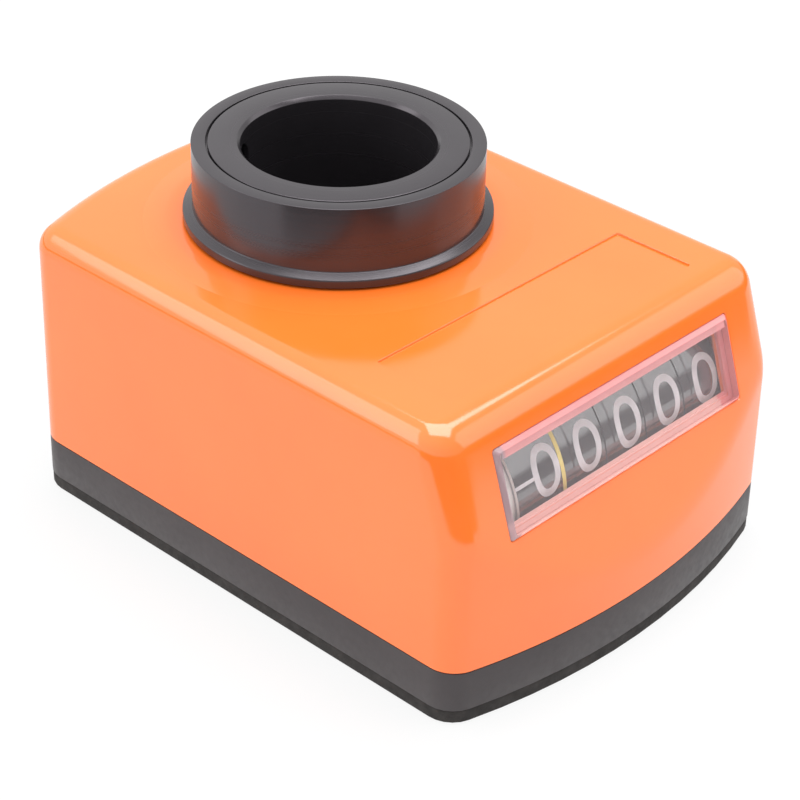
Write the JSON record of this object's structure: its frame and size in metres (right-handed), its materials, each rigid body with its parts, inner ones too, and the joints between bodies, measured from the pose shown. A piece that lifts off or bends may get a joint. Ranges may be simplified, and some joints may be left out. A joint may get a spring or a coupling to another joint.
{
  "type": "mechanical position indicator",
  "caption": "Position indicator with a hollow shaft and clamping collar, geared to a row of number wheels behind a sloping clear window in a rounded plastic case.",
  "frame": {"origin": "on the hollow shaft's axis, at the mounting face under the gasket", "axes": "+Z along the shaft, from the machine towards the collar; the window looks along -Y; +X across the case"},
  "size_m": [0.0484, 0.0673, 0.049],
  "materials": {
    "case_orange": "gloss",
    "lens_clear": "clear moulded",
    "base_grey": "satin",
    "foam_black": "closed-cell foam",
    "steel": "drawn",
    "seal_rubber": "matte",
    "shaft_black": "blackened, satin",
    "screw_black": "blackened",
    "gear_plastic": "natural acetal",
    "frame_plastic": "moulded",
    "wheel_black": "satin"
  },
  "bodies": {
    "case": {"housing": "case_orange", "window_lens": "lens_clear", "base_plate": "base_grey", "rear_gasket": "foam_black", "locating_pin": "steel", "lower_seal": "seal_rubber", "upper_seal": "seal_rubber", "counter_frame": "frame_plastic", "frame_screws": "steel", "wheel_axle": "steel", "pinion_axle": "steel", "drive_stud": "steel", "idler_stud": "steel", "stud_clips": "steel"},
    "shaft": {"hollow_shaft": "shaft_black", "collar": "shaft_black", "crown_gear": "gear_plastic"},
    "set_screw": {"set_screw": "screw_black"},
    "drive_gear": {"drive_gear": "gear_plastic"},
    "idler_gear": {"idler_gear": "gear_plastic"},
    "wheel_1": {"number_wheel_1": "wheel_black", "wheel_gear": "gear_plastic"},
    "wheel_2": {"number_wheel_2": "wheel_black"},
    "wheel_3": {"number_wheel_3": "wheel_black"},
    "wheel_4": {"number_wheel_4": "wheel_black"},
    "wheel_5": {"number_wheel_5": "wheel_black"},
    "transfer_1": {"transfer_pinion_1": "gear_plastic"},
    "transfer_2": {"transfer_pinion_2": "gear_plastic"},
    "transfer_3": {"transfer_pinion_3": "gear_plastic"},
    "transfer_4": {"transfer_pinion_4": "gear_plastic"}
  },
  "joints": [
    {"name": "shaft_spin", "type": "hinge", "parent": "case", "child": "shaft", "pos_m": [0, 0, 0.02], "axis": [0, 0, 1], "continuous": true},
    {"name": "set_screw_slide", "type": "slide", "parent": "shaft", "child": "set_screw", "axis": [0.5736, -0.8192, 0], "range_m": [-0.003, 0.0012]},
    {"name": "drive_gear_spin", "type": "hinge", "parent": "case", "child": "drive_gear", "pos_m": [-0.019, 0, 0.01245], "axis": [1, 0, 0], "continuous": true},
    {"name": "idler_gear_spin", "type": "hinge", "parent": "case", "child": "idler_gear", "pos_m": [-0.0195, -0.01309, 0.01968], "axis": [1, 0, 0], "continuous": true},
    {"name": "wheel_1_spin", "type": "hinge", "parent": "case", "child": "wheel_1", "pos_m": [0, -0.02794, 0.01796], "axis": [1, 0, 0], "continuous": true},
    {"name": "wheel_2_spin", "type": "hinge", "parent": "case", "child": "wheel_2", "pos_m": [0, -0.02794, 0.01796], "axis": [1, 0, 0], "continuous": true},
    {"name": "wheel_3_spin", "type": "hinge", "parent": "case", "child": "wheel_3", "pos_m": [0, -0.02794, 0.01796], "axis": [1, 0, 0], "continuous": true},
    {"name": "wheel_4_spin", "type": "hinge", "parent": "case", "child": "wheel_4", "pos_m": [0, -0.02794, 0.01796], "axis": [1, 0, 0], "continuous": true},
    {"name": "wheel_5_spin", "type": "hinge", "parent": "case", "child": "wheel_5", "pos_m": [0, -0.02794, 0.01796], "axis": [1, 0, 0], "continuous": true},
    {"name": "transfer_1_spin", "type": "hinge", "parent": "case", "child": "transfer_1", "pos_m": [0, -0.03449, 0.00804], "axis": [1, 0, 0], "continuous": true},
    {"name": "transfer_2_spin", "type": "hinge", "parent": "case", "child": "transfer_2", "pos_m": [0, -0.03449, 0.00804], "axis": [1, 0, 0], "continuous": true},
    {"name": "transfer_3_spin", "type": "hinge", "parent": "case", "child": "transfer_3", "pos_m": [0, -0.03449, 0.00804], "axis": [1, 0, 0], "continuous": true},
    {"name": "transfer_4_spin", "type": "hinge", "parent": "case", "child": "transfer_4", "pos_m": [0, -0.03449, 0.00804], "axis": [1, 0, 0], "continuous": true}
  ],
  "couplings": [
    {"joint": "drive_gear_spin", "follows": "shaft_spin", "ratio": -4},
    {"joint": "idler_gear_spin", "follows": "shaft_spin", "ratio": 4},
    {"joint": "wheel_1_spin", "follows": "shaft_spin", "ratio": -4},
    {"joint": "wheel_2_spin", "follows": "shaft_spin", "ratio": -0.4},
    {"joint": "wheel_3_spin", "follows": "shaft_spin", "ratio": -0.04},
    {"joint": "wheel_4_spin", "follows": "shaft_spin", "ratio": -0.004},
    {"joint": "wheel_5_spin", "follows": "shaft_spin", "ratio": -0.0004},
    {"joint": "transfer_1_spin", "follows": "shaft_spin", "ratio": 1},
    {"joint": "transfer_2_spin", "follows": "shaft_spin", "ratio": 0.1},
    {"joint": "transfer_3_spin", "follows": "shaft_spin", "ratio": 0.01},
    {"joint": "transfer_4_spin", "follows": "shaft_spin", "ratio": 0.001}
  ]
}
